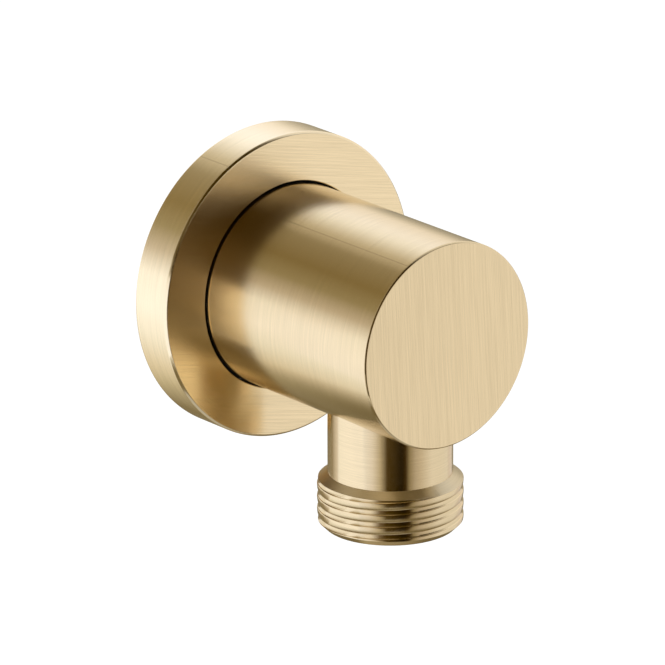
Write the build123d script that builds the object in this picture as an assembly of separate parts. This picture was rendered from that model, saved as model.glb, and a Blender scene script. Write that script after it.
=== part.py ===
from build123d import *
import math
import os

# Wall outlet elbow for a shower hose, in millimetres.
# The origin is on the wall, on the inlet's axis. +Z is up and -Y comes out of the wall.
# Turned sections are drawn as (radius, distance) pairs: the barrel's and the flange's distances run
# out of the wall, and the neck's run up from the barrel's axis.

# Barrel
BARREL_D = 30.0
PROJECTION = 42.0  # wall to the flat front face
EDGE_BEVEL = 0.3  # on every turned edge that shows
FRONT_WALL = 4.0  # metal between the tip of the waterway and the front face

# Outlet neck, which hangs down from the barrel
OUTLET_SETBACK = 12.5  # front face to the neck's axis
OUTLET_DROP = 29.75  # barrel's axis to the outlet's end
NECK_D = 17.8
OUTLET_BORE_D = 12.5

# Inlet spigot, which screws into the pipe in the wall
INLET_REACH = 13.0  # wall to the inlet's end
INLET_RELIEF = 1.2  # plain stretch between the barrel's back and the thread
INLET_BORE_D = 13.5
DRILL_POINT_ANGLE = 118.0

# G 1/2 pipe thread on the outlet and on the inlet, plain at its outside diameter
THREAD_D = 20.8
THREAD_CHAMFER = 0.9  # at the thread's end
OUTLET_THREAD_LENGTH = 6.8  # from the thread's shoulder to the outlet's end
OUTLET_SHOULDER = 1.1  # height of the cone between the neck and the thread

# Wall flange, which slips over the barrel
FLANGE_WIDTH = 7.2  # face, from the bore to the rim
FLANGE_LAND = 4.0  # length of the bore that slides on the barrel
FLANGE_RECESS = 3.0  # hollow back
FLANGE_RIM = 3.0  # width of the ring that meets the wall
FLANGE_GAP = 0.3  # between the bore and the barrel

# O-ring, which sits in the flange's bore and grips the barrel
O_RING_SECTION = 1.8  # cord diameter before it is squeezed
O_RING_SQUEEZE = 0.25
O_RING_CORNER = 0.4  # bevel on the squeezed section
O_RING_SEAT = 0.05  # from the barrel, and from the floor of the groove
O_RING_SIDE_PLAY = 0.15

barrel_r = BARREL_D / 2
barrel_back = FLANGE_RECESS
outlet_axis = PROJECTION - OUTLET_SETBACK

neck_r = NECK_D / 2
thread_r = THREAD_D / 2

flange_bore_r = barrel_r + FLANGE_GAP
flange_r = flange_bore_r + FLANGE_WIDTH
flange_thickness = FLANGE_LAND + FLANGE_RECESS

groove_floor_r = barrel_r + O_RING_SECTION - O_RING_SQUEEZE
o_ring_height = O_RING_SECTION - O_RING_SQUEEZE - 2 * O_RING_SEAT
o_ring_width = (math.pi / 4 * O_RING_SECTION**2 + 2 * O_RING_CORNER**2) / o_ring_height
groove_width = o_ring_width + 2 * O_RING_SIDE_PLAY
groove_middle = FLANGE_RECESS + FLANGE_LAND / 2

OUT_OF_WALL = Rot(X=90)
AT_OUTLET = Pos(Y=-outlet_axis)


def turned(*section):
    """A solid turned about Z from its half section of (radius, distance) points."""
    return revolve(Plane.XZ * make_face(Polyline(*section, close=True)), Axis.Z)


def barrel_blank():
    """The barrel with its inlet spigot."""
    return OUT_OF_WALL * turned(
        (0, PROJECTION),
        (barrel_r - EDGE_BEVEL, PROJECTION),
        (barrel_r, PROJECTION - EDGE_BEVEL),
        (barrel_r, barrel_back + EDGE_BEVEL),
        (barrel_r - EDGE_BEVEL, barrel_back),
        (neck_r, barrel_back),
        (neck_r, barrel_back - INLET_RELIEF),
        (thread_r, barrel_back - INLET_RELIEF - (thread_r - neck_r)),
        (thread_r, THREAD_CHAMFER - INLET_REACH),
        (thread_r - THREAD_CHAMFER, -INLET_REACH),
        (0, -INLET_REACH),
    )


def neck_blank():
    """The outlet's neck, from the barrel's axis down to its end."""
    shoulder = OUTLET_THREAD_LENGTH - OUTLET_DROP
    return AT_OUTLET * turned(
        (0, 0),
        (neck_r, 0),
        (neck_r, shoulder + OUTLET_SHOULDER),
        (thread_r, shoulder),
        (thread_r, THREAD_CHAMFER - OUTLET_DROP),
        (thread_r - THREAD_CHAMFER, -OUTLET_DROP),
        (0, -OUTLET_DROP),
    )


def waterway():
    """The two drilled bores, which meet on the barrel's axis."""
    inlet_r = INLET_BORE_D / 2
    tip = PROJECTION - FRONT_WALL
    point = inlet_r / math.tan(math.radians(DRILL_POINT_ANGLE / 2))
    inlet_end = -INLET_REACH
    inlet_bore = OUT_OF_WALL * turned((0, tip), (inlet_r, tip - point), (inlet_r, inlet_end), (0, inlet_end))
    outlet_r = OUTLET_BORE_D / 2
    outlet_bore = AT_OUTLET * turned((0, 0), (outlet_r, 0), (outlet_r, -OUTLET_DROP), (0, -OUTLET_DROP))
    return inlet_bore + outlet_bore


def elbow_body():
    """Barrel, neck and spigot in one piece of brass, drilled through."""
    return barrel_blank() + neck_blank() - waterway()


def wall_flange():
    """The turned disc that covers the hole in the wall, with a hollow back and an O-ring groove."""
    recess_r = flange_r - FLANGE_RIM
    groove_front = groove_middle + groove_width / 2
    groove_back = groove_middle - groove_width / 2
    return OUT_OF_WALL * turned(
        (flange_bore_r, FLANGE_RECESS),
        (flange_bore_r, groove_back),
        (groove_floor_r, groove_back),
        (groove_floor_r, groove_front),
        (flange_bore_r, groove_front),
        (flange_bore_r, flange_thickness - EDGE_BEVEL),
        (flange_bore_r + EDGE_BEVEL, flange_thickness),
        (flange_r - EDGE_BEVEL, flange_thickness),
        (flange_r, flange_thickness - EDGE_BEVEL),
        (flange_r, EDGE_BEVEL),
        (flange_r - EDGE_BEVEL, 0),
        (recess_r, 0),
        (recess_r, FLANGE_RECESS),
    )


def flange_o_ring():
    """The O-ring as it lies squeezed between the barrel and its groove, with the cord's area of section."""
    middle_r = (barrel_r + groove_floor_r) / 2
    cord = Rectangle(o_ring_height, o_ring_width)
    squeezed = chamfer(cord.vertices(), O_RING_CORNER)
    return OUT_OF_WALL * revolve(Plane.XZ * Pos(middle_r, groove_middle) * squeezed, Axis.Z)


PIECES = {
    "elbow_body": elbow_body,
    "wall_flange": wall_flange,
    "flange_o_ring": flange_o_ring,
}

os.makedirs("parts", exist_ok=True)
for name, make in PIECES.items():
    export_step(make(), f"parts/{name}.step")
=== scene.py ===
import math

import bpy
from mathutils import Matrix, Vector


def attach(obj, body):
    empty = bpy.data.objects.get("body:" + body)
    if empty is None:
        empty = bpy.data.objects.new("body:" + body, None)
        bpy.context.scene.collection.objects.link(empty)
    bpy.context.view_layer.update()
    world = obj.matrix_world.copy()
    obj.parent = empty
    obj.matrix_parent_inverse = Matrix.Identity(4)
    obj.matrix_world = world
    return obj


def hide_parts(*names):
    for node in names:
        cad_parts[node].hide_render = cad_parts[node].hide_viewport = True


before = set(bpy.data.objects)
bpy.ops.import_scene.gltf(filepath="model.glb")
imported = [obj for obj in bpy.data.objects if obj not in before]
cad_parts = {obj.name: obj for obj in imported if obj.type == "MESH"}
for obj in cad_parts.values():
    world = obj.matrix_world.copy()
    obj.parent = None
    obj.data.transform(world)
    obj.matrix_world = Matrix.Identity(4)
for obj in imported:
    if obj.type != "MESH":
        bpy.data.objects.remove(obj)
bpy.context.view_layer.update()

# Sizes of the elbow, in millimetres, in the frame of the solids.
# The origin is on the wall, on the inlet's axis.
MM = 0.001
BARREL_R = 15.0
FRONT = -42.0
BACK = -3.0
EDGE_BEVEL = 0.2
EDGE_ROUNDING = 0.05
HOLD = 0.25  # from an edge to the ring that keeps its shading short
NECK_R = 8.9
NECK_Y = -29.5
OUTLET_END = -29.75
OUTLET_SHOULDER_TOP = -21.85
OUTLET_SHOULDER_FOOT = -22.95
RELIEF_END = -1.8
INLET_SHOULDER_FOOT = -0.3
INLET_END = 13.0
THREAD_R = 10.4
THREAD_PITCH = 25.4 / 14
THREAD_CHAMFER = 0.9
# One pitch of the thread, groove to groove, as (depth, along) points.
# It is shallow and broad on the crest, as in the photo.
THREAD_FORM = [
    (0.30, 0.00), (0.28, 0.025), (0.16, 0.07), (0.13, 0.10), (0.085, 0.24),
    (0.045, 0.42), (0.015, 0.65), (0.0, 0.90), (0.005, 1.08), (0.02, 1.16),
    (0.05, 1.21), (0.13, 1.25), (0.155, 1.28), (0.225, 1.54), (0.295, 1.79),
]
OUTLET_THREAD_START = 231.0  # degrees about the neck, where the groove enters its end
INLET_BORE_R = 6.75
OUTLET_BORE_R = 6.25
DRILL_TIP = -38.0
DRILL_CORNER = -33.944
BORE_BREAK = 0.2
FLANGE_R = 22.5
FLANGE_EDGE = 0.3  # clears the outlet's shoulder when the flange is pulled right out
FLANGE_BORE_R = 15.3
FLANGE_FRONT = -7.0
FLANGE_RECESS = -3.0
RECESS_R = 19.5
GROOVE_FLOOR_R = 16.55
GROOVE_MIDDLE = -5.0
GROOVE_HALF = 1.138
O_RING_HALF_HEIGHT = 0.772
O_RING_HALF_WIDTH = 0.988
REFLECTION_EDGE_TURN = 28.25  # degrees from the top, towards the side the camera sees, where a painted dark line stands in for a reflection's edge along the barrel
BRASS = (0.76, 0.61, 0.366)
# BRASS is the brass's own tone. The next three are painted light: brighter copies of it for the upright face,
# the flange's face and the rim. BRASS_SHOULDER_PAINTED_SHADE is painted shade: a darker copy for the outlet's
# shoulder.
BRASS_FACE_PAINTED_LIGHT = (0.835, 0.67, 0.402)
BRASS_FLANGE_PAINTED_LIGHT = (0.875, 0.703, 0.422)
BRASS_RIM_PAINTED_LIGHT = (0.895, 0.745, 0.485)
BRASS_SHOULDER_PAINTED_SHADE = (0.63, 0.53, 0.34)
STEPS = 192
THREAD_STEPS = 144
SMOOTH_ANGLE = 32  # degrees, past which an edge stays sharp
SNAP = 0.002  # how far from an edge's place a point may lie and still be on it
CORE_END = 5  # end of the plain core inside the inlet's thread
NECK_FOOT = -25  # end of the plain neck inside the outlet's thread
PROUD = 0.02  # by which a blank stands outside the thread that it trims
SINK = 0.6  # by which a blank reaches into the core
ROD_SPARE = 0.5  # thread left past its end for the blank to trim
ROD_ROOT = 1  # thread left past its root, inside the core


# Modelling by hand

def put_down():
    """Leaves edit mode with nothing selected."""
    if bpy.context.mode != "OBJECT":
        bpy.ops.object.mode_set(mode="OBJECT")
    bpy.ops.object.select_all(action="DESELECT")


def pick_up(piece):
    put_down()
    piece.select_set(True)
    bpy.context.view_layer.objects.active = piece


def open_mesh(piece):
    pick_up(piece)
    bpy.ops.object.mode_set(mode="EDIT")
    bpy.ops.mesh.select_all(action="SELECT")


def draw_section(name, points):
    """A line drawn from one vertex, point by point."""
    put_down()
    bpy.ops.mesh.primitive_plane_add(size=MM)
    piece = bpy.context.active_object
    piece.name = name
    piece.data.name = name
    open_mesh(piece)
    bpy.ops.mesh.merge(type="CENTER")
    bpy.ops.transform.translate(value=Vector(points[0]) * MM)
    for here, there in zip(points, points[1:]):
        step = (Vector(there) - Vector(here)) * MM
        bpy.ops.mesh.extrude_vertices_move(TRANSFORM_OT_translate={"value": step})
    put_down()
    return piece


def close_mesh(piece):
    """Merges the doubles and turns the faces outwards."""
    open_mesh(piece)
    bpy.ops.mesh.remove_doubles(threshold=0.0005 * MM)
    bpy.ops.mesh.normals_make_consistent(inside=False)
    put_down()


def turn_about_barrel(name, section):
    """Turns a half section of (radius, y) points about the barrel's axis."""
    piece = draw_section(name, [(r, y, 0) for r, y in section])
    open_mesh(piece)
    bpy.ops.mesh.spin(steps=STEPS, angle=math.tau, center=(0, 0, 0), axis=(0, 1, 0))
    close_mesh(piece)
    return piece


def turn_about_neck(name, section):
    """Turns a half section of (radius, z) points about the neck's axis."""
    piece = draw_section(name, [(r, NECK_Y, z) for r, z in section])
    open_mesh(piece)
    bpy.ops.mesh.spin(steps=STEPS, angle=math.tau, center=(0, NECK_Y * MM, 0), axis=(0, 0, 1))
    close_mesh(piece)
    return piece


def round_edges(piece, places, width):
    """Rounds the turned edges about the barrel's axis at the given (radius, y) places."""
    pick_up(piece)
    bpy.ops.object.mode_set(mode="EDIT")
    bpy.ops.mesh.select_mode(type="EDGE")
    bpy.ops.mesh.select_all(action="DESELECT")
    bpy.ops.object.mode_set(mode="OBJECT")
    points = piece.data.vertices

    def on(index, place):
        at = points[index].co / MM
        return abs(math.hypot(at.x, at.z) - place[0]) < SNAP and abs(at.y - place[1]) < SNAP

    for edge in piece.data.edges:
        one, other = edge.vertices
        edge.select = any(on(one, place) and on(other, place) for place in places)
    bpy.ops.object.mode_set(mode="EDIT")
    bpy.ops.mesh.bevel(offset=width * MM, segments=3, profile=0.5, affect="EDGES", clamp_overlap=False)
    bpy.ops.mesh.select_mode(type="VERT")
    put_down()


def combine(piece, tool, operation):
    """Joins a piece with another, cuts it by another or keeps what they share, and uses the other up."""
    pick_up(piece)
    shared = piece.modifiers.new("combine", "BOOLEAN")
    shared.operation = operation
    shared.solver = "MANIFOLD"
    shared.object = tool
    bpy.ops.object.modifier_apply(modifier=shared.name)
    bpy.data.objects.remove(tool, do_unlink=True)


def wind_thread(piece, axis, turns):
    """Winds the drawn form up its axis, and merges each turn with the next."""
    pick_up(piece)
    winding = piece.modifiers.new("winding", "SCREW")
    winding.axis = axis
    winding.angle = math.tau
    winding.screw_offset = THREAD_PITCH * MM
    winding.iterations = turns
    winding.steps = THREAD_STEPS
    winding.render_steps = THREAD_STEPS
    bpy.ops.object.modifier_apply(modifier=winding.name)
    close_mesh(piece)


def trim(piece, place, away):
    """Cuts a piece off flat at a place, and fills the cut."""
    open_mesh(piece)
    bpy.ops.mesh.bisect(
        plane_co=Vector(place) * MM, plane_no=away, use_fill=True, clear_outer=True, threshold=0.0001 * MM)
    put_down()


# The elbow: barrel, neck and inlet in one piece

def barrel():
    """The barrel, with the plain core that carries the inlet's thread."""
    piece = turn_about_barrel("elbow", [
        (0, FRONT),
        (BARREL_R - EDGE_BEVEL - HOLD, FRONT),
        (BARREL_R - EDGE_BEVEL, FRONT),
        (BARREL_R, FRONT + EDGE_BEVEL),
        (BARREL_R, FRONT + EDGE_BEVEL + HOLD),
        (BARREL_R, BACK - EDGE_BEVEL - HOLD),
        (BARREL_R, BACK - EDGE_BEVEL),
        (BARREL_R - EDGE_BEVEL, BACK),
        (BARREL_R - EDGE_BEVEL - HOLD, BACK),
        (NECK_R, BACK),
        (NECK_R, CORE_END),
        (0, CORE_END),
    ])
    round_edges(piece, [
        (BARREL_R - EDGE_BEVEL, FRONT),
        (BARREL_R, FRONT + EDGE_BEVEL),
        (BARREL_R, BACK - EDGE_BEVEL),
        (BARREL_R - EDGE_BEVEL, BACK),
    ], EDGE_ROUNDING)
    return piece


def neck():
    return turn_about_neck("neck", [(0, 0), (NECK_R, 0), (NECK_R, NECK_FOOT), (0, NECK_FOOT)])


def outlet_thread():
    """The outlet's right-hand thread, with its shoulder and its chamfered end."""
    turns = 9
    groove = OUTLET_END - THREAD_PITCH * (1 + OUTLET_THREAD_START / 360)
    start = groove - THREAD_PITCH
    form = THREAD_FORM + [(THREAD_FORM[0][0], THREAD_PITCH)]
    rod = draw_section("outlet_thread", [(THREAD_R - depth, 0, start + along) for depth, along in form])
    wind_thread(rod, "Z", turns)
    trim(rod, (0, 0, OUTLET_END - ROD_SPARE), (0, 0, -1))
    trim(rod, (0, 0, OUTLET_SHOULDER_TOP + ROD_ROOT), (0, 0, 1))
    open_mesh(rod)
    bpy.ops.transform.translate(value=(0, NECK_Y * MM, 0))
    put_down()
    slope = (OUTLET_SHOULDER_TOP - OUTLET_SHOULDER_FOOT) / (THREAD_R - NECK_R)
    blank = turn_about_neck("outlet_blank", [
        (0, OUTLET_SHOULDER_TOP + SINK * slope),
        (NECK_R - SINK, OUTLET_SHOULDER_TOP + SINK * slope),
        (THREAD_R + PROUD, OUTLET_SHOULDER_FOOT - PROUD * slope),
        (THREAD_R + PROUD, OUTLET_END + THREAD_CHAMFER + PROUD),
        (THREAD_R - THREAD_CHAMFER, OUTLET_END),
        (0, OUTLET_END),
    ])
    combine(rod, blank, "INTERSECT")
    return rod


def inlet_thread():
    """The inlet's right-hand thread, with its run-out and its chamfered end."""
    turns = 12
    start = INLET_END + 1 - (turns - 1) * THREAD_PITCH
    form = [(deep, THREAD_PITCH - along) for deep, along in reversed(THREAD_FORM)]
    form = [(THREAD_FORM[0][0], 0), *form[:-1], (THREAD_FORM[0][0], THREAD_PITCH)]
    rod = draw_section("inlet_thread", [(THREAD_R - depth, start + along, 0) for depth, along in form])
    wind_thread(rod, "Y", turns)
    trim(rod, (0, INLET_END + ROD_SPARE, 0), (0, 1, 0))
    trim(rod, (0, RELIEF_END - ROD_ROOT, 0), (0, -1, 0))
    blank = turn_about_barrel("inlet_blank", [
        (0, RELIEF_END - SINK),
        (NECK_R - SINK, RELIEF_END - SINK),
        (THREAD_R + PROUD, INLET_SHOULDER_FOOT + PROUD),
        (THREAD_R + PROUD, INLET_END - THREAD_CHAMFER - PROUD),
        (THREAD_R - THREAD_CHAMFER, INLET_END),
        (0, INLET_END),
    ])
    combine(rod, blank, "INTERSECT")
    return rod


def inlet_bore():
    """The drill's path from the inlet's end to its point, with the mouth's sharp edge broken."""
    return turn_about_barrel("inlet_bore", [
        (0, DRILL_TIP),
        (INLET_BORE_R, DRILL_CORNER),
        (INLET_BORE_R, INLET_END - BORE_BREAK),
        (INLET_BORE_R + 2 * BORE_BREAK, INLET_END + BORE_BREAK),
        (0, INLET_END + BORE_BREAK),
    ])


def outlet_bore():
    return turn_about_neck("outlet_bore", [
        (0, 0),
        (OUTLET_BORE_R, 0),
        (OUTLET_BORE_R, OUTLET_END + BORE_BREAK),
        (OUTLET_BORE_R + 2 * BORE_BREAK, OUTLET_END - BORE_BREAK),
        (0, OUTLET_END - BORE_BREAK),
    ])


def elbow():
    piece = barrel()
    combine(piece, neck(), "UNION")
    combine(piece, outlet_thread(), "UNION")
    combine(piece, inlet_thread(), "UNION")
    combine(piece, inlet_bore(), "DIFFERENCE")
    combine(piece, outlet_bore(), "DIFFERENCE")
    finish_faces(piece)
    return piece


def finish_faces(piece):
    """Merges what the cuts left doubled, and shades the piece smooth up to its sharp edges."""
    close_mesh(piece)
    pick_up(piece)
    bpy.ops.object.shade_smooth_by_angle(angle=math.radians(SMOOTH_ANGLE))
    put_down()


# The wall flange and its O-ring

def flange():
    """The turned disc, with its hollow back and the groove in its bore."""
    groove_front = GROOVE_MIDDLE - GROOVE_HALF
    groove_back = GROOVE_MIDDLE + GROOVE_HALF
    piece = turn_about_barrel("flange", [
        (FLANGE_BORE_R, FLANGE_RECESS),
        (FLANGE_BORE_R, groove_back),
        (GROOVE_FLOOR_R, groove_back),
        (GROOVE_FLOOR_R, groove_front),
        (FLANGE_BORE_R, groove_front),
        (FLANGE_BORE_R, FLANGE_FRONT + BORE_BREAK / 2),
        (FLANGE_BORE_R + BORE_BREAK / 2, FLANGE_FRONT),
        (FLANGE_BORE_R + BORE_BREAK / 2 + HOLD, FLANGE_FRONT),
        (FLANGE_R - FLANGE_EDGE - HOLD, FLANGE_FRONT),
        (FLANGE_R - FLANGE_EDGE, FLANGE_FRONT),
        (FLANGE_R, FLANGE_FRONT + FLANGE_EDGE),
        (FLANGE_R, FLANGE_FRONT + FLANGE_EDGE + HOLD),
        (FLANGE_R, -FLANGE_EDGE - HOLD),
        (FLANGE_R, -FLANGE_EDGE),
        (FLANGE_R - FLANGE_EDGE, 0),
        (FLANGE_R - FLANGE_EDGE - HOLD, 0),
        (RECESS_R, 0),
        (RECESS_R, FLANGE_RECESS),
        (FLANGE_BORE_R, FLANGE_RECESS),
    ])
    round_edges(piece, [
        (FLANGE_R - FLANGE_EDGE, FLANGE_FRONT),
        (FLANGE_R, FLANGE_FRONT + FLANGE_EDGE),
        (FLANGE_R, -FLANGE_EDGE),
        (FLANGE_R - FLANGE_EDGE, 0),
    ], EDGE_ROUNDING)
    finish_faces(piece)
    return piece


def o_ring():
    """The O-ring's round cord, flattened where the barrel and the groove's floor squeeze it."""
    middle = (BARREL_R + GROOVE_FLOOR_R) / 2
    section = []
    for count in range(25):
        a = math.tau * count / 24
        flat = math.copysign(abs(math.cos(a)) ** 0.7, math.cos(a))
        section.append((middle + O_RING_HALF_HEIGHT * flat, GROOVE_MIDDLE + O_RING_HALF_WIDTH * math.sin(a)))
    piece = turn_about_barrel("o_ring", section)
    finish_faces(piece)
    return piece


# Finishes

def nodes_of(name):
    finish = bpy.data.materials.new(name)
    finish.use_nodes = True
    tree = finish.node_tree
    tree.nodes.clear()
    out = tree.nodes.new("ShaderNodeOutputMaterial")
    return finish, tree, out


def feed(tree, node, values):
    """Links each input of a node, or sets it where the value is plain."""
    for socket, value in zip(node.inputs, values):
        if isinstance(value, bpy.types.NodeSocket):
            tree.links.new(value, socket)
        else:
            socket.default_value = value


def number(tree, operation, *values):
    node = tree.nodes.new("ShaderNodeMath")
    node.operation = operation
    feed(tree, node, values)
    return node.outputs["Value"]


def vectors(tree, operation, *values):
    """The vector, length or product that comes of one or two vectors."""
    node = tree.nodes.new("ShaderNodeVectorMath")
    node.operation = operation
    feed(tree, node, values)
    return node.outputs["Value" if operation in ("LENGTH", "DOT_PRODUCT") else "Vector"]


def dot(tree, vector, direction):
    return vectors(tree, "DOT_PRODUCT", vector, direction)


def place_of(tree):
    """The place on the piece, in metres."""
    return tree.nodes.new("ShaderNodeTexCoord").outputs["Object"]


def parts_of(tree, vector):
    """A vector's X, Y and Z."""
    split = tree.nodes.new("ShaderNodeSeparateXYZ")
    tree.links.new(vector, split.inputs["Vector"])
    return split.outputs


def tones(tree, amount, stops):
    """A colour ramp with (place, colour) stops."""
    node = tree.nodes.new("ShaderNodeValToRGB")
    ramp = node.color_ramp
    while len(ramp.elements) < len(stops):
        ramp.elements.new(0.5)
    for element, (place, colour) in zip(ramp.elements, stops):
        element.position = place
        element.color = (*colour, 1)
    tree.links.new(amount, node.inputs["Fac"])
    return node.outputs["Color"]


def noise(tree, vector, scale, detail, roughness=0.6):
    node = tree.nodes.new("ShaderNodeTexNoise")
    node.noise_dimensions = "3D"
    node.inputs["Scale"].default_value = scale
    node.inputs["Detail"].default_value = detail
    node.inputs["Roughness"].default_value = roughness
    tree.links.new(vector, node.inputs["Vector"])
    return node.outputs["Fac"]


def ranged(tree, value, low, high, to_low, to_high):
    node = tree.nodes.new("ShaderNodeMapRange")
    node.inputs["From Min"].default_value = low
    node.inputs["From Max"].default_value = high
    node.inputs["To Min"].default_value = to_low
    node.inputs["To Max"].default_value = to_high
    tree.links.new(value, node.inputs["Value"])
    return node.outputs["Result"]


def roughen(tree, shader, height, strength, depth):
    """Raises the surface in fine relief, to a depth in millimetres."""
    bump = tree.nodes.new("ShaderNodeBump")
    bump.inputs["Strength"].default_value = strength
    bump.inputs["Distance"].default_value = depth * MM
    tree.links.new(height, bump.inputs["Height"])
    tree.links.new(bump.outputs["Normal"], shader.inputs["Normal"])


def painted_reflection_edge(tree, here, colour):
    """Paints a fine dark line along the barrel: painted reflection, standing in for the edge between a bright
    reflection and a darker one.
    """
    turned = math.radians(REFLECTION_EDGE_TURN)
    aside = number(tree, "ABSOLUTE", dot(tree, here, (math.cos(turned), 0, math.sin(turned))))
    outward = dot(tree, here, (-math.sin(turned), 0, math.cos(turned)))
    fine = ranged(tree, aside, 0.05 * MM, 0.13 * MM, 1, 0)
    line = number(tree, "MULTIPLY", fine, number(tree, "GREATER_THAN", outward, 0))
    mix = tree.nodes.new("ShaderNodeMix")
    mix.data_type = "RGBA"
    tree.links.new(number(tree, "MULTIPLY", line, 0.2), mix.inputs["Factor"])
    tree.links.new(colour, mix.inputs[6])
    mix.inputs[7].default_value = (0.10, 0.06, 0.02, 1)
    return mix.outputs[2]


def brushed_brass(name, lines, roughness, stretch, strength=1.0, tone=BRASS):
    """Satin brass. The brush's lines run round the barrel or the neck, or straight at an angle from level."""
    finish, tree, out = nodes_of(name)
    here = place_of(tree)
    normal = tree.nodes.new("ShaderNodeNewGeometry").outputs["Normal"]

    if lines in ("barrel", "neck"):
        axis = (0, 1, 0) if lines == "barrel" else (0, 0, 1)
        start = (0, 0, 0) if lines == "barrel" else (0, -NECK_Y * MM, 0)
        spot = vectors(tree, "ADD", here, start)
        along_line = vectors(tree, "CROSS_PRODUCT", axis, spot)
        at = parts_of(tree, spot)
        height = at["Y" if lines == "barrel" else "Z"]
        across = number(tree, "SUBTRACT", vectors(tree, "LENGTH", along_line), height)
        first = at["X"]
        second = at["Z" if lines == "barrel" else "Y"]
    else:
        turned = math.radians(lines)
        level = (math.cos(turned), 0, math.sin(turned))
        along_line = vectors(tree, "ADD", level, (0, 0, 0))
        across = dot(tree, here, (-level[2], 0, level[0]))
        first = dot(tree, here, level)
        second = dot(tree, here, (0, 1, 0))

    def brush(fine, long):
        place = tree.nodes.new("ShaderNodeCombineXYZ")
        tree.links.new(number(tree, "DIVIDE", across, fine * MM), place.inputs["X"])
        tree.links.new(number(tree, "DIVIDE", first, long * MM), place.inputs["Y"])
        tree.links.new(number(tree, "DIVIDE", second, long * MM), place.inputs["Z"])
        return place.outputs["Vector"]

    hair = noise(tree, brush(0.11, 12), 1, 2, 0.7)
    streak = noise(tree, brush(0.4, 25), 1, 2, 0.6)
    both = number(tree, "ADD", number(tree, "MULTIPLY", hair, 0.92), number(tree, "MULTIPLY", streak, 0.08))
    amount = ranged(tree, both, 0.36, 0.64, 0.5 - 0.5 * strength, 0.5 + 0.5 * strength)
    shades = [(share, [c * (0.945 + 0.11 * share) for c in tone]) for share in (0.0, 0.5, 1.0)]
    colour = tones(tree, amount, shades)
    # The barrel's and the rim's finishes carry the painted dark line of a reflection's edge.
    if lines == "barrel":
        colour = painted_reflection_edge(tree, here, colour)

    shader = tree.nodes.new("ShaderNodeBsdfPrincipled")
    shader.inputs["Metallic"].default_value = 1
    shader.inputs["Anisotropic"].default_value = stretch
    tree.links.new(colour, shader.inputs["Base Color"])
    tree.links.new(ranged(tree, amount, 0, 1, roughness + 0.02, roughness - 0.02), shader.inputs["Roughness"])
    tree.links.new(vectors(tree, "CROSS_PRODUCT", normal, along_line), shader.inputs["Tangent"])
    roughen(tree, shader, both, 0.15 * strength, 0.004)
    tree.links.new(shader.outputs["BSDF"], out.inputs["Surface"])
    return finish


def dull_brass_painted_shade():
    """Brass as the lathe left it, rough and unbrushed, inside the flange. Its near-black tone is painted
    shade for the recess of the bore and the groove.
    """
    finish, tree, out = nodes_of("brass_dull_painted_shade")
    here = place_of(tree)
    blotch = noise(tree, here, 700, 4)
    shader = tree.nodes.new("ShaderNodeBsdfPrincipled")
    shader.inputs["Metallic"].default_value = 1
    colour = tones(tree, blotch, [(0.35, (0.12, 0.085, 0.045)), (0.65, (0.2, 0.15, 0.08))])
    tree.links.new(colour, shader.inputs["Base Color"])
    tree.links.new(ranged(tree, blotch, 0.35, 0.65, 0.6, 0.45), shader.inputs["Roughness"])
    roughen(tree, shader, blotch, 0.2, 0.01)
    tree.links.new(shader.outputs["BSDF"], out.inputs["Surface"])
    return finish


def ring_rubber():
    """Matt black rubber with a faint bloom."""
    finish, tree, out = nodes_of("ring_rubber")
    here = place_of(tree)
    bloom = noise(tree, here, 900, 3)
    shader = tree.nodes.new("ShaderNodeBsdfPrincipled")
    colour = tones(tree, bloom, [(0.3, (0.022, 0.022, 0.023)), (0.7, (0.04, 0.04, 0.041))])
    tree.links.new(colour, shader.inputs["Base Color"])
    tree.links.new(ranged(tree, bloom, 0.3, 0.7, 0.75, 0.9), shader.inputs["Roughness"])
    shader.inputs["Specular IOR Level"].default_value = 0.2
    roughen(tree, shader, bloom, 0.2, 0.01)
    tree.links.new(shader.outputs["BSDF"], out.inputs["Surface"])
    return finish


def dress(piece, finishes, choose):
    """Gives each face the finish that its place and normal ask for."""
    piece.data.materials.clear()
    for finish in finishes:
        piece.data.materials.append(finish)
    for face in piece.data.polygons:
        face.material_index = choose(face.center / MM, face.normal)


def elbow_finish(at, normal):
    off_barrel = math.hypot(at.x, at.z)
    off_neck = math.hypot(at.x, at.y - NECK_Y)
    if at.y < FRONT + 0.01:
        return 1
    if off_barrel < INLET_BORE_R + 0.02 or off_neck < OUTLET_BORE_R + 0.02:
        return 3
    if off_neck > NECK_R + 0.01 and OUTLET_SHOULDER_FOOT < at.z < OUTLET_SHOULDER_TOP and normal.z > 0.3:
        return 4
    if off_barrel > BARREL_R + 0.004:
        return 2
    return 0


def flange_finish(at, normal):
    if at.y < FLANGE_FRONT + 0.01:
        return 1
    # The bore and the groove take the dull brass, whose near-black tone is painted shade.
    if math.hypot(at.x, at.z) < GROOVE_FLOOR_R + 0.01 and at.y > FLANGE_FRONT + FLANGE_EDGE:
        return 2
    return 0


# The rim, the upright face and the level face take copies of the brass with painted light in their tone. The
# shoulder's copy has painted shade in its tone, and its rougher turned finish is real.
round_barrel = brushed_brass("brass_brushed_round_barrel", "barrel", 0.15, 0.85, 0.8)
round_rim = brushed_brass("brass_brushed_round_rim_painted_light", "barrel", 0.16, 0.85, 0.8, BRASS_RIM_PAINTED_LIGHT)
upright_face = brushed_brass("brass_brushed_upright_painted_light", 93.4, 0.20, 0.89, 1.0, BRASS_FACE_PAINTED_LIGHT)
round_neck = brushed_brass("brass_brushed_round_neck", "neck", 0.17, 0.80, 0.8)
level_face = brushed_brass("brass_brushed_level_painted_light", -13.0, 0.19, 0.87, 1.2, BRASS_FLANGE_PAINTED_LIGHT)
turned_shoulder = brushed_brass("brass_turned_shoulder_painted_shade", "neck", 0.38, 0.5, 0.8, BRASS_SHOULDER_PAINTED_SHADE)

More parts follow.
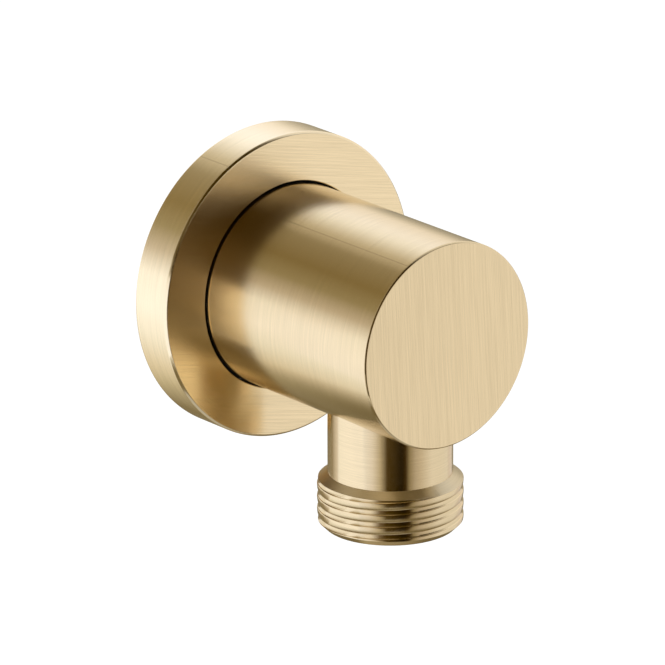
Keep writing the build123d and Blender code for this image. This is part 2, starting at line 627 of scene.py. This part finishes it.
elbow_piece = elbow()
dress(elbow_piece, [round_barrel, upright_face, round_neck, round_barrel, turned_shoulder], elbow_finish)
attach(elbow_piece, "elbow")
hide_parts("elbow_body")

flange_piece = flange()
dress(flange_piece, [round_rim, level_face, dull_brass_painted_shade()], flange_finish)
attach(flange_piece, "flange")
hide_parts("wall_flange")

ring_piece = o_ring()
dress(ring_piece, [ring_rubber()], lambda at, normal: 0)
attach(ring_piece, "flange")
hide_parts("flange_o_ring")


# Studio, in metres: floor, cards that only the brass mirrors, soft lamps and white surroundings

FRONT_CARD_R = 0.7
BACK_CARD_R = 0.8
NEAR_CARD_R = 0.1
FRONT_SWEEP = (-100, 100)  # degrees that a front card's tones cover
FULL_SWEEP = (-180, 180)
SOFT_MIDDLE = 0.25  # share of a soft card's radius that is full
ELBOW_MIDDLE = Vector((0, -0.02, 0))
CAMERA_TURNED = -39.48  # degrees from the front
CAMERA_RAISED = 19.02
CAMERA_ROLLED = -0.20
CAMERA_AIM = (-6.81, -25, -0.97)  # millimetres
CAMERA_AWAY = 1008.97  # millimetres
CAMERA_LENS = 388.84

def rays_that_see(tree):
    """1 for the rays that show the surroundings: the camera's, and those that metal and glass send on."""
    path = tree.nodes.new("ShaderNodeLightPath")
    seen = number(tree, "MAXIMUM", path.outputs["Is Camera Ray"], path.outputs["Is Glossy Ray"])
    return number(tree, "MAXIMUM", seen, path.outputs["Is Transmission Ray"])


def white_surroundings():
    world = bpy.data.worlds.new("white_surroundings")
    bpy.context.scene.world = world
    world.use_nodes = True
    tree = world.node_tree
    tree.nodes.clear()
    out = tree.nodes.new("ShaderNodeOutputWorld")
    glow = tree.nodes.new("ShaderNodeBackground")
    glow.inputs["Color"].default_value = (1, 1, 1, 1)
    tree.links.new(ranged(tree, rays_that_see(tree), 0, 1, 0.8, 1), glow.inputs["Strength"])
    tree.links.new(glow.outputs["Background"], out.inputs["Surface"])


def pale_floor(height):
    finish, tree, out = nodes_of("pale_floor")
    matt = tree.nodes.new("ShaderNodeBsdfDiffuse")
    matt.inputs["Color"].default_value = (0.9, 0.9, 0.9, 1)
    glow = tree.nodes.new("ShaderNodeEmission")
    tree.links.new(ranged(tree, rays_that_see(tree), 0, 1, 0, 0.3), glow.inputs["Strength"])
    both = tree.nodes.new("ShaderNodeAddShader")
    tree.links.new(matt.outputs["BSDF"], both.inputs[0])
    tree.links.new(glow.outputs["Emission"], both.inputs[1])
    tree.links.new(both.outputs["Shader"], out.inputs["Surface"])
    put_down()
    bpy.ops.mesh.primitive_plane_add(size=30, location=(0, 0, height))
    floor = bpy.context.active_object
    floor.name = "floor"
    floor.data.materials.append(finish)


def set_up(card, finish):
    """Gives a card its glow, for the brass alone to mirror."""
    card.data.materials.append(finish)
    card.visible_camera = False
    card.visible_diffuse = False
    card.visible_shadow = False
    card.visible_transmission = False
    card.visible_volume_scatter = False


def named_card(name):
    """Names the card just made, with its place in its mesh."""
    card = bpy.context.active_object
    card.name = name
    bpy.ops.object.transform_apply(location=True, rotation=True, scale=True)
    return card


def curved_card(name, radius, depth, middle, steps, turned=(0, 0, 0)):
    """An open cylinder, to stand or arch round the elbow."""
    put_down()
    bpy.ops.mesh.primitive_cylinder_add(
        vertices=steps, radius=radius, depth=depth, end_fill_type="NOTHING", location=middle, rotation=turned)
    return named_card(name)


def flat_card(name, radius, middle):
    """A level round card."""
    put_down()
    bpy.ops.mesh.primitive_circle_add(vertices=64, radius=radius, fill_type="NGON", location=middle)
    return named_card(name)


def toned_glow(tree, out, share, stops):
    """A glow whose tone changes from share 0 to share 1, given as (share, colour) stops."""
    scale = max(max(colour) for _, colour in stops)
    glow = tree.nodes.new("ShaderNodeEmission")
    glow.inputs["Strength"].default_value = scale
    colour = tones(tree, share, [(place, [c / scale for c in colour]) for place, colour in stops])
    tree.links.new(colour, glow.inputs["Color"])
    tree.links.new(glow.outputs["Emission"], out.inputs["Surface"])


def card_tone(name, across, along, stops, sweep, axis_at=0.0):
    """A glow whose tone changes with the angle round an axis, given as (degrees, colour) stops."""
    low, high = sweep
    finish, tree, out = nodes_of(name)
    at = parts_of(tree, place_of(tree))
    off_axis = number(tree, "SUBTRACT", at[along[0]], axis_at)
    sideways = number(tree, "MULTIPLY", at[across[0]], across[1])
    forwards = number(tree, "MULTIPLY", off_axis, along[1])
    degrees = number(tree, "DEGREES", number(tree, "ARCTAN2", sideways, forwards))
    share = ranged(tree, degrees, low, high, 0, 1)
    toned_glow(tree, out, share, [((angle - low) / (high - low), colour) for angle, colour in stops])
    return finish


def front_card(name, low, high, stops):
    """Stands round the front of the elbow, between two heights."""
    card = curved_card(name, FRONT_CARD_R, high - low, (0, 0, (low + high) / 2), 180)
    open_mesh(card)
    bpy.ops.mesh.bisect(plane_co=ELBOW_MIDDLE, plane_no=(0, 1, 0), clear_outer=True)
    put_down()
    set_up(card, card_tone(name, ("X", 1), ("Y", -1), stops, FRONT_SWEEP))


def near_card(name, low, high, start, end, stops):
    """Stands close round the neck's axis, between two heights and two angles from the front."""
    card = curved_card(name, NEAR_CARD_R, high - low, (0, NECK_Y * MM, (low + high) / 2), 360)
    for angle, side in ((start, -1), (end, 1)):
        turned = math.radians(angle)
        away = (side * math.cos(turned), side * math.sin(turned), 0)
        open_mesh(card)
        bpy.ops.mesh.bisect(
            plane_co=(0, NECK_Y * MM, 0), plane_no=away, clear_outer=True, threshold=0.0001 * MM)
        put_down()
    set_up(card, card_tone(name, ("X", 1), ("Y", -1), stops, FRONT_SWEEP, NECK_Y * MM))


def under_card(height, size, colour):
    """Lies under the elbow, so that the edges which face down are not brighter than the rest."""
    finish, tree, out = nodes_of("under_card")
    glow = tree.nodes.new("ShaderNodeEmission")
    glow.inputs["Color"].default_value = (*colour, 1)
    tree.links.new(glow.outputs["Emission"], out.inputs["Surface"])
    set_up(flat_card("under_card", size, (0, 0, height)), finish)


def back_card(name, near, far, stops):
    """Arches over and under the barrel's axis, from beside the elbow to behind it."""
    middle = (0, (near + far) / 2, 0)
    card = curved_card(name, BACK_CARD_R, far - near, middle, 180, (math.pi / 2, 0, 0))
    set_up(card, card_tone(name, ("X", -1), ("Z", 1), stops, FULL_SWEEP))


def near_panel(name, outline, way, start, end, stops):
    """A small flat card close to the elbow, whose tone changes along one way between two places."""
    card = draw_section(name, outline)
    open_mesh(card)
    bpy.ops.mesh.edge_face_add()
    put_down()
    finish, tree, out = nodes_of(name)
    share = ranged(tree, parts_of(tree, place_of(tree))[way], start * MM, end * MM, 0, 1)
    toned_glow(tree, out, share, stops)
    set_up(card, finish)


def fading_glow(name, colour, share_of):
    """A glow that share_of, given the node tree and the place, turns from nothing (0) to full (1)."""
    finish, tree, out = nodes_of(name)
    clear = tree.nodes.new("ShaderNodeBsdfTransparent")
    glow = tree.nodes.new("ShaderNodeEmission")
    glow.inputs["Color"].default_value = (*colour, 1)
    fade = tree.nodes.new("ShaderNodeMixShader")
    tree.links.new(share_of(tree, place_of(tree)), fade.inputs["Fac"])
    tree.links.new(clear.outputs["BSDF"], fade.inputs[1])
    tree.links.new(glow.outputs["Emission"], fade.inputs[2])
    tree.links.new(fade.outputs["Shader"], out.inputs["Surface"])
    return finish


def ring_card(name, low, high, fade, colour):
    """Stands close round the neck's axis below the thread, and fades out to nothing at both its edges."""
    card = curved_card(name, NEAR_CARD_R, high - low, (0, NECK_Y * MM, (low + high) / 2), 360)

    def share(tree, here):
        height = parts_of(tree, here)["Z"]
        rise = ranged(tree, height, low, low + fade, 0, 1)
        fall = ranged(tree, height, high - fade, high, 1, 0)
        return number(tree, "MULTIPLY", rise, fall)

    set_up(card, fading_glow(name, colour, share))


def soft_card(name, place, radius, colour):
    """A small round card close above the elbow, which fades out to nothing at its rim."""
    middle = Vector(place) * MM
    card = flat_card(name, radius * MM, middle)

    def share(tree, here):
        off_middle = vectors(tree, "LENGTH", vectors(tree, "SUBTRACT", here, middle))
        return ranged(tree, off_middle, SOFT_MIDDLE * radius * MM, radius * MM, 1, 0)

    set_up(card, fading_glow(name, colour, share))


def soft_lamp(name, place, size, power):
    put_down()
    bpy.ops.object.light_add(type="AREA", location=place)
    lamp = bpy.context.active_object
    lamp.name = name
    lamp.data.shape = "DISK"
    lamp.data.size = size
    lamp.data.energy = power
    lamp.rotation_euler = (ELBOW_MIDDLE - Vector(place)).to_track_quat("-Z", "Y").to_euler()
    lamp.visible_glossy = False


def camera():
    """Stands where the photograph was taken from."""
    turned, raised, rolled = (math.radians(a) for a in (CAMERA_TURNED, CAMERA_RAISED, CAMERA_ROLLED))
    level_back = Vector((math.sin(turned), -math.cos(turned), 0))
    back = math.cos(raised) * level_back + Vector((0, 0, math.sin(raised)))
    right = Vector((math.cos(turned), math.sin(turned), 0))
    up = back.cross(right)
    level = math.cos(rolled) * right + math.sin(rolled) * up
    plumb = math.cos(rolled) * up - math.sin(rolled) * right
    place = (Vector(CAMERA_AIM) + CAMERA_AWAY * back) * MM
    put_down()
    bpy.ops.object.camera_add(location=place)
    eye = bpy.context.active_object
    eye.name = "camera"
    eye.rotation_euler = Matrix((level, plumb, back)).transposed().to_euler()
    eye.data.sensor_width = 36
    eye.data.lens = CAMERA_LENS
    eye.data.clip_start = 0.01
    eye.data.clip_end = 50
    bpy.context.scene.camera = eye


white_surroundings()
pale_floor(-1.32)
FRONT_TONES = [
    (-100, (1.2, 1.3, 1.6)),
    (-72, (0.95, 0.95, 1.05)),
    (-58, (0.65, 0.6, 0.5)),
    (-46, (0.07, 0.04, 0.0)),
    (-20, (0.01, 0.005, 0.0)),
    (-12, (0.05, 0.025, 0.0)),
    (-6, (0.35, 0.3, 0.2)),
    (4, (0.55, 0.5, 0.45)),
    (16, (0.7, 0.65, 0.6)),
    (40, (0.95, 0.95, 1.0)),
    (100, (0.9, 0.9, 0.9)),
]
near_card("near_card", -0.078, -0.038, -80, 4, FRONT_TONES)
ring_card("ring_card", -0.23, -0.078, 0.035, (0.2, 0.165, 0.09))
near_card("near_card_high", -0.038, 0.012, -80, 4, [
    (-100, (1.2, 1.2, 1.4)),
    (-70, (1.0, 1.0, 1.05)),
    (-57, (0.2, 0.15, 0.1)),
    (-48, (0.07, 0.04, 0.0)),
    (-20, (0.01, 0.005, 0.0)),
    (-11, (0.04, 0.02, 0.0)),
    (-5, (0.35, 0.3, 0.2)),
    (4, (0.55, 0.5, 0.45)),
])
near_panel(
    "side_panel", [(-30, y, z) for y, z in (
        (-6, 6), (-19.5, 6), (-21.5, -8), (-26, -17), (-36, -30), (-28, -30), (-19, -17), (-6, -14))],
    "Z", 6, 0, [(0, (1.0, 1.0, 1.08)), (0.5, (1.15, 1.18, 1.35)), (1, (1.2, 1.25, 1.45))])
soft_card("top_card", (8, -43, 30), 17, (0.95, 0.95, 0.98))
front_card("front_card_low", -3.0, -0.5, [
    (-100, (1.1, 1.1, 1.1)),
    (-34, (0.95, 0.95, 0.9)),
    (-24, (0.8, 0.75, 0.7)),
    (-14, (0.25, 0.2, 0.12)),
    (4, (0.13, 0.1, 0.05)),
    (30, (0.6, 0.55, 0.5)),
    (100, (0.9, 0.9, 0.9)),
])
front_card("front_card", -0.5, 0.17, FRONT_TONES)
front_card("front_card_high", 0.17, 3.0, [
    (-100, (1.1, 1.1, 1.2)),
    (-75, (0.7, 0.65, 0.6)),
    (-60, (0.2, 0.15, 0.07)),
    (-28, (0.05, 0.03, 0.0)),
    (22, (0.04, 0.025, 0.0)),
    (46, (0.15, 0.13, 0.1)),
    (62, (0.9, 0.9, 0.95)),
    (100, (0.95, 0.95, 0.95)),
])
UPPER_SIDES = [
    (-70, (1.05, 1.0, 0.95)),
    (-45, (1.2, 1.25, 1.45)),
    (-32, (1.15, 1.2, 1.35)),
    (-10, (0.65, 0.6, 0.5)),
    (0, (0.5, 0.45, 0.35)),
    (6, (0.35, 0.3, 0.2)),
    (35, (0.27, 0.21, 0.1)),
    (55, (0.37, 0.32, 0.2)),
    (72, (0.65, 0.6, 0.55)),
    (90, (1.15, 1.2, 1.35)),
    (115, (1.25, 1.3, 1.5)),
]
SIDES = [
    *UPPER_SIDES,
    (135, (1.1, 1.15, 1.25)),
    (160, (0.85, 0.8, 0.7)),
    (180, (0.6, 0.55, 0.4)),
]
back_card("side_card", -0.02, 0.3, [
    (-180, (0.45, 0.4, 0.3)),
    (-150, (0.25, 0.2, 0.1)),
    (-110, (0.85, 0.8, 0.8)),
    *SIDES,
])
back_card("back_card", 0.3, 1.1, [
    (-180, (0.6, 0.55, 0.4)),
    (-150, (0.22, 0.17, 0.08)),
    (-101, (0.33, 0.3, 0.22)),
    (-85, (0.55, 0.5, 0.4)),
    (-77, (0.8, 0.75, 0.65)),
    *SIDES,
])
back_card("far_card", 1.1, 2.6, [
    (-180, (0.3, 0.25, 0.15)),
    (-120, (0.26, 0.22, 0.14)),
    (-85, (0.55, 0.5, 0.4)),
    *UPPER_SIDES,
    (120, (1.05, 1.05, 1.2)),
    (135, (0.75, 0.7, 0.65)),
    (163, (0.3, 0.25, 0.15)),
])
under_card(-1.0, 0.68, (0.5, 0.5, 0.5))
soft_lamp("key_lamp", (-1.2, -1.2, 1.6), 1.2, 25)
soft_lamp("fill_lamp", (1.4, -0.8, 1.0), 1.2, 12)
camera()
bpy.context.scene.view_settings.view_transform = "Standard"
